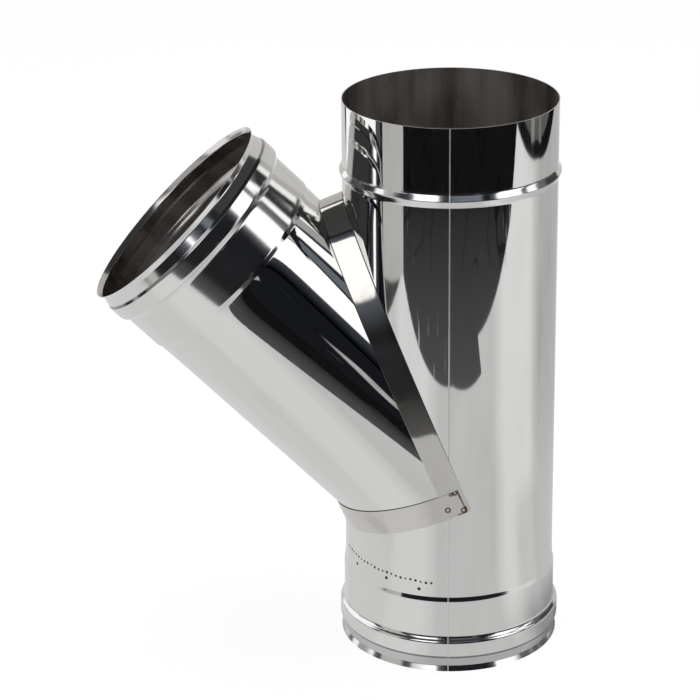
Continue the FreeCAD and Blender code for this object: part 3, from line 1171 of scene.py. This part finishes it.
@dataclass
class TackMarks:
    """Slanting row of small burnt marks above the bottom socket, on the branch's side.

    The thickness and the dip are shares of a mark's radius. The spreads vary the marks a little.
    """

    sizes: FlueSizes
    first: tuple[float, float] = (math.radians(-77.0), 0.0717)
    last: tuple[float, float] = (math.radians(-12.5), 0.0676)
    count: int = 23
    small: float = 0.0009
    large: float = 0.0013
    thickness: float = 0.14
    dip: float = 0.05
    size_spread: float = 0.18
    height_spread: float = 0.0003
    stray: tuple[tuple[float, float], ...] = (
        (math.radians(-64.1), 0.0642),
        (math.radians(-39.2), 0.0650),
        (math.radians(-19.3), 0.0622),
    )

    def mark(self, azimuth: float, height: float, radius: float) -> bpy.types.Object:
        """Model one mark: a low round scab with a dip in its middle.

        Args:
            azimuth: angle from -Y towards +X.
            height: height above the bottom rim.
            radius: radius of the mark.

        Returns:
            The mark, with its place in its mesh.
        """
        deselect_all()
        bpy.ops.mesh.primitive_uv_sphere_add(segments=12, ring_count=6, radius=radius)
        piece = bpy.context.active_object
        with editing(piece):
            bpy.ops.mesh.select_all(action="SELECT")
            bpy.ops.transform.resize(value=(1, 1, self.thickness), center_override=(0, 0, 0))
            select_faces(piece, lambda f: f.normal.z > 0.5 and f.calc_center_median().xy.length < radius / 2)
            bpy.ops.transform.translate(value=(0, 0, -radius * self.dip))
        out = Vector((math.sin(azimuth), -math.cos(azimuth), 0))
        turn = out.to_track_quat("Z", "Y").to_matrix().to_4x4()
        run = height - self.sizes.socket_depth - self.sizes.step_length
        wall = self.sizes.tube_radius + self.sizes.tail(run)
        piece.matrix_world = Matrix.Translation(out * wall + Vector((0, 0, height))) @ turn
        bpy.ops.object.transform_apply(location=True, rotation=True, scale=True)
        return piece

    def build(self) -> None:
        """Model the row and the three larger marks under it, as one piece."""
        marks = []
        for step in range(self.count):
            share = step / (self.count - 1)
            azimuth = self.first[0] + (self.last[0] - self.first[0]) * share
            height = self.first[1] + (self.last[1] - self.first[1]) * share
            radius = self.small * (1 + self.size_spread * math.sin(4 * step))
            marks.append(self.mark(azimuth, height + self.height_spread * math.sin(5 * step), radius))
        marks += [self.mark(azimuth, height, self.large) for azimuth, height in self.stray]
        deselect_all()
        for mark in marks:
            mark.select_set(True)
        bpy.context.view_layer.objects.active = marks[0]
        bpy.ops.object.join()
        piece = marks[0]
        piece.name = piece.data.name = "tack_marks"
        bpy.ops.object.shade_smooth()
        piece.data.materials.append(BurntMark("burnt_mark").build())
        hand_over(piece, Slot.TUBE)


@dataclass(frozen=True)
class Panel:
    """Upright panel of the studio that only the metal sees.

    The azimuths are in degrees from -Y towards +X, seen from the studio's middle.
    """

    name: str
    azimuths: tuple[float, float]
    distance: float
    heights: tuple[float, float]
    colour: Colour
    glow: float = 0.0
    margin: float = 0.0

    @property
    def centre(self) -> Vector:
        """Direction of its middle, level."""
        azimuth = math.radians(sum(self.azimuths) / 2)
        return Vector((math.sin(azimuth), -math.cos(azimuth), 0))

    @property
    def size(self) -> tuple[float, float]:
        """Its width and height, without the margin."""
        spread = math.radians(abs(self.azimuths[1] - self.azimuths[0]) / 2)
        return (2 * self.distance * math.tan(spread), self.heights[1] - self.heights[0])


@dataclass(frozen=True)
class Table:
    """Table top and the dark ground beyond it, as the metal mirrors them.

    A tone is given by the four bearings in degrees between which it fades in and out, and by
    what it adds close to the part and far from it. A shade is given by four bearings, the share
    of light that it takes and the distances at which it is gone and full.
    """

    light: float = 0.70
    cloud: float = 0.10
    close_and_far: tuple[float, float] = (0.2, 0.7)
    tones: tuple[tuple[float, ...], ...] = (
        (-62, -54, -28, -20, 0.05, 0.08),
        (-20, -12, 40, 48, -0.09, -0.08),
        (44, 56, 84, 98, 0.08, 0.12),
        (88, 106, 146, 168, -0.09, -0.20),
        (156, 170, 200, 210, 0.02, 0.2),
    )
    shades: tuple[tuple[float, ...], ...] = (
        (35, 75, 115, 165, 0.55, 0.18, 0.085),
        (58, 76, 92, 106, 0.15, 0.4, 0.3),
    )
    contact: float = 0.26
    contact_edge: tuple[float, float] = (0.096, 0.083)
    left: float = -0.715
    right: float = 1.235
    right_slopes: tuple[float, float] = (0.12, 0.15)
    right_bend: float = 0.2
    front: float = -0.605
    front_slopes: tuple[float, float] = (0.08, 0.18)
    front_limit: float = -0.505
    corner: float = 0.31
    corner_drop: float = 0.108
    corner_slope: float = 0.07
    soft: float = 0.004
    crisp: float = 0.002
    ground: float = 0.007
    lit_ground: float = 0.0245
    lit_slope: float = 0.115
    lit_reach: float = 1.055
    lit_edge: tuple[float, float] = (1.16, 1.06)
    cable: float = 0.65
    cable_edge: tuple[float, float] = (0.011, 0.005)
    cable_start: tuple[float, float] = (0.88, 0.95)

    def mirrored(self, graph: Graph) -> Value:
        """How bright the metal sees each place of the floor."""
        x, y = graph.axes("X", "Y")
        level = graph.vector("MULTIPLY", graph.place(), (1, 1, 0))
        far = graph.measure("DISTANCE", level, (0, 0, 0))
        bearing = graph.math("ARCTAN2", x, 0 - y) * math.degrees(1)
        ground = self.ground_light(graph, far)
        return ground + self.outline(x, y) * (self.top_light(graph, far, bearing) - ground)

    def top_light(self, graph: Graph, far: Value, bearing: Value) -> Value:
        """Light of the table top, with its tones and the shades round the part's foot."""
        light = self.light + (graph.noise(graph.place(), 4, 2.0) - 0.5) * self.cloud
        away = far.fade(*self.close_and_far)
        for start, full, last, end, close, beyond in self.tones:
            light = light + bearing.band(start, full, last, end) * (close + (beyond - close) * away)
        for start, full, last, end, share, gone, deep in self.shades:
            light = light * (1 - bearing.band(start, full, last, end) * share * far.fade(gone, deep))
        return light * (1 - self.contact * far.fade(*self.contact_edge))

    def ground_light(self, graph: Graph, far: Value) -> Value:
        """Light of the ground: brighter up to a distance and crossed by darker cables."""
        lit = self.lit_ground + self.lit_slope * (self.lit_reach - far).at_least(0.0)
        cable = abs(graph.noise(graph.place(), 2.6, 1.0) - 0.5).fade(*self.cable_edge)
        dark = self.cable * cable * far.fade(*self.cable_start)
        return (self.ground + far.fade(*self.lit_edge) * lit) * (1 - dark)

    def outline(self, x: Value, y: Value) -> Value:
        """Mask of the table top, by its left, right and front edges."""
        leftwards, rightwards = self.front_slopes
        front = leftwards * (0 - x).at_least(0.0) + rightwards * x.at_least(0.0) + self.front
        corner = (x - self.corner).fade(-self.crisp, self.crisp)
        front = front + corner * (self.corner_slope * (x - self.corner) - self.corner_drop)
        near_slope, far_slope = self.right_slopes
        right = self.right - near_slope * y - far_slope * (y - self.right_bend).at_least(0.0)
        within = (y - front.at_most(self.front_limit)).fade(-self.crisp, self.crisp)
        within = within * (right - x).fade(-self.soft, self.soft)
        return within * (x - self.left).fade(-self.soft, self.soft)


@dataclass
class Studio:
    """Camera, table, panels and lights, as the photo's reflections show them."""

    camera_place: Vector = field(default_factory=lambda: Vector((-0.0968, -1.7741, 0.9185)))
    yaw: float = 0.0147
    pitch: float = 0.3768
    roll: float = 0.0108
    lens: float = 138.28
    sensor: float = 36.0
    middle: Vector = field(default_factory=lambda: Vector((-0.03, -0.07, 0)))
    table: Table = Table()
    floor_width: float = 30.0
    room_radius: float = 2.6
    room_height: float = 3.2
    room_middle: float = 1.35
    ceiling_width: float = 5.6
    ceiling_height: float = 2.9
    lamp_width: float = 3.0
    lamp_height: float = 3.2
    lamp_watts: float = 60.0
    glow_tint: tuple[float, float, float] = (0.84, 0.95, 1.2)
    glow_edge: float = 0.035
    panels: tuple[Panel, ...] = (
        Panel("left_softbox", (-43, -16), 1.3, (0.69, 1.68), grey(1.6), 0.11, 0.36),
        Panel("right_softbox", (51, 78.5), 1.4, (0.46, 1.75), grey(1.5), 0.055, 0.36),
        Panel("front_glow", (-6, 34), 1.45, (1.0, 1.5), rgba(0.19, 0.215, 0.25)),
        Panel("left_lamp", (-90, -52), 1.25, (0.84, 1.06), grey(1.3)),
        Panel("right_gap", (80, 89), 1.37, (0.46, 1.75), rgba(0.055, 0.07, 0.105)),
        Panel("right_foot", (72, 128), 1.34, (0.0, 0.44), rgba(0.12, 0.115, 0.11)),
        Panel("foot_post", (91, 96), 1.33, (0.0, 0.44), grey(0.28)),
        Panel("foot_rail", (103, 107), 1.33, (0.0, 0.44), grey(0.2)),
        Panel("right_strip", (86, 98), 1.35, (0.46, 1.75), grey(1.3)),
        Panel("right_return", (98, 112), 1.5, (0.3, 1.75), grey(0.15)),
        Panel("left_wall", (-80, -54), 0.80, (0.0, 0.80), rgba(0.52, 0.52, 0.51)),
        Panel("left_post", (-90, -83), 0.84, (0.0, 0.6), grey(0.09)),
        Panel("left_board", (-146, -112), 0.86, (0.05, 0.6), grey(1.15)),
        Panel("left_near", (-112, -90), 0.55, (0.125, 0.47), grey(1.15)),
        Panel("left_skirt", (-112, -90), 0.86, (0.0, 0.3), grey(0.36)),
        Panel("front_slit", (24.9, 26.8), 1.42, (0.235, 0.345), rgba(0.48, 0.48, 0.47), 0.0, 0.035),
        Panel("back_softbox", (-141, -112), 1.3, (0.62, 1.9), grey(1.35)),
        Panel("backdrop", (136, 224), 1.5, (0.0, 1.9), rgba(0.62, 0.615, 0.6)),
    )

    def build(self) -> None:
        """Set up all of the studio."""
        self.add_camera()
        self.add_floor()
        self.add_world()
        for panel in self.panels:
            self.add_panel(panel)
        self.add_room()
        self.add_ceiling()
        self.add_lamp()
        bpy.context.scene.view_settings.view_transform = "Standard"

    def add_camera(self) -> None:
        """Camera of the photo, from its fitted place and angles."""
        level = math.cos(self.pitch)
        ahead = Vector((math.sin(self.yaw) * level, math.cos(self.yaw) * level, -math.sin(self.pitch)))
        right = Vector((math.cos(self.yaw), -math.sin(self.yaw), 0))
        down = ahead.cross(right)
        tilt = Matrix.Rotation(self.roll, 3, ahead)
        camera = bpy.data.cameras.new("camera")
        camera.lens = self.lens
        camera.sensor_width = self.sensor
        camera.clip_start = 0.05
        camera.clip_end = 50
        seat = bpy.data.objects.new("camera", camera)
        turn = (tilt @ Matrix((right, -down, -ahead)).transposed()).to_4x4()
        seat.matrix_world = Matrix.Translation(self.camera_place) @ turn
        bpy.context.scene.collection.objects.link(seat)
        bpy.context.scene.camera = seat

    def sheet(self, name: str, size: tuple[float, float], place: Vector, facing: Vector) -> bpy.types.Object:
        """Flat stage panel whose own frame has its real size.

        Args:
            name: name of the object.
            size: its width and height.
            place: its centre.
            facing: direction that its front faces.

        Returns:
            The panel, marked as stage.
        """
        deselect_all()
        bpy.ops.mesh.primitive_plane_add(size=1)
        panel = bpy.context.active_object
        panel.name = panel.data.name = name
        panel.scale = (*size, 1)
        bpy.ops.object.transform_apply(scale=True)
        level = Vector((0, 0, 1)).cross(facing)
        across = level.normalized() if level.length > TINY else Vector((1, 0, 0))
        turn = Matrix((across, facing.cross(across), facing)).transposed().to_4x4()
        panel.matrix_world = Matrix.Translation(place) @ turn
        return panel

    def paint(self, piece: bpy.types.Object) -> Graph:
        """Graph of a new material on a stage piece."""
        material, graph = new_material(piece.name)
        piece.data.materials.append(material)
        return graph

    def shine(self, piece: bpy.types.Object, graph: Graph, tone: object) -> None:
        """Give a stage piece light of its own and keep it for the metal alone."""
        glow = graph.node("ShaderNodeEmission", Color=tone, Strength=1.0)
        graph.node("ShaderNodeOutputMaterial", Surface=glow.outputs[0])
        piece.visible_camera = False
        piece.visible_diffuse = False
        piece.visible_shadow = False

    def add_floor(self) -> None:
        """Table that is white to the camera, keeps the shadow and ends at its edges to the metal."""
        size = (self.floor_width, self.floor_width)
        floor = self.sheet("floor", size, Vector((0, 0, 0)), Vector((0, 0, 1)))
        graph = self.paint(floor)
        grain = graph.noise(graph.place(), 3, 2.0)
        paper = graph.node("ShaderNodeBsdfDiffuse", Color=graph.mix(grain, grey(0.245), grey(0.255)))
        glow = graph.node("ShaderNodeEmission", Color=grey(1), Strength=0.9)
        seen = graph.row("ShaderNodeAddShader", None, paper.outputs[0], glow.outputs[0])
        tone = graph.mix(self.table.mirrored(graph), grey(0), grey(1))
        mirrored = graph.node("ShaderNodeEmission", Color=tone, Strength=1.0)
        metal = graph.ray("Is Glossy Ray", "Is Transmission Ray")
        surface = graph.blend(metal, seen.outputs[0], mirrored.outputs[0])
        graph.node("ShaderNodeOutputMaterial", Surface=surface)

    def add_world(self) -> None:
        """World that is white to the camera and to the metal, and dim to the light on the pieces."""
        world = bpy.data.worlds.new("studio")
        bpy.context.scene.world = world
        world.use_nodes = True
        graph = Graph(world.node_tree)
        dim = graph.node("ShaderNodeBackground", Color=grey(0.05))
        white = graph.node("ShaderNodeBackground", Color=grey(1))
        looked_at = graph.ray("Is Camera Ray", "Is Glossy Ray", "Is Transmission Ray")
        light = graph.blend(looked_at, dim.outputs[0], white.outputs[0])
        graph.node("ShaderNodeOutputWorld", Surface=light)

    def add_room(self) -> None:
        """Dim walls of the room round the table, darkest in front of it."""
        deselect_all()
        bpy.ops.mesh.primitive_cylinder_add(
            vertices=96,
            radius=self.room_radius,
            depth=self.room_height,
            location=(0, 0, self.room_middle),
            end_fill_type="NOTHING",
        )
        room = bpy.context.active_object
        room.name = room.data.name = "room"
        bpy.ops.object.transform_apply(location=True)
        bpy.ops.object.shade_smooth()
        graph = self.paint(room)
        (y,) = graph.axes("Y")
        back = (y / self.room_radius).fade(-0.3, 0.6)
        tone = graph.mix(back, rgba(0.0095, 0.0105, 0.0135), rgba(0.055, 0.053, 0.052))
        self.shine(room, graph, tone)

    def add_panel(self, panel: Panel) -> None:
        """Stand up one panel, with a glow round it where it has a margin.

        Args:
            panel: its place and light.
        """
        width, height = panel.size
        place = self.middle + panel.centre * panel.distance
        place.z = sum(panel.heights) / 2
        size = (width + 2 * panel.margin, height + 2 * panel.margin)
        made = self.sheet(panel.name, size, place, -panel.centre)
        graph = self.paint(made)
        tone = panel.colour
        if panel.margin:
            x, y = graph.axes("X", "Y")
            beside = (abs(x) - width / 2).at_least(0.0)
            above = (abs(y) - height / 2).at_least(0.0)
            apart = graph.math("SQRT", beside * beside + above * above)
            glow = rgba(*(panel.glow * part for part in self.glow_tint))
            edge = graph.mix(apart.fade(panel.margin, 0), grey(0), glow)
            tone = graph.mix(apart.fade(self.glow_edge, 0), edge, panel.colour)
        self.shine(made, graph, tone)

    def add_ceiling(self) -> None:
        """Dim ceiling."""
        size = (self.ceiling_width, self.ceiling_width)
        ceiling = self.sheet("ceiling", size, Vector((0, 0, self.ceiling_height)), Vector((0, 0, -1)))
        self.shine(ceiling, self.paint(ceiling), grey(0.05))

    def add_lamp(self) -> None:
        """Soft light from above for the floor, which the metal doesn't mirror."""
        lamp = bpy.data.lights.new("overhead", "AREA")
        lamp.shape = "SQUARE"
        lamp.size = self.lamp_width
        lamp.energy = self.lamp_watts
        light = bpy.data.objects.new("overhead", lamp)
        light.location = (0, 0, self.lamp_height)
        light.visible_glossy = False
        bpy.context.scene.collection.objects.link(light)


def main() -> None:
    """Build the studio and the pieces in order."""
    logging.basicConfig(level=logging.INFO, format="%(name)s %(message)s")
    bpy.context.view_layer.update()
    sizes = FlueSizes()
    Studio().build()
    for part in (MainPipe(sizes), BranchPipe(sizes), UpperBand(sizes), LowerBand(sizes), TackMarks(sizes)):
        part.build()


if __name__ == "__main__":
    main()
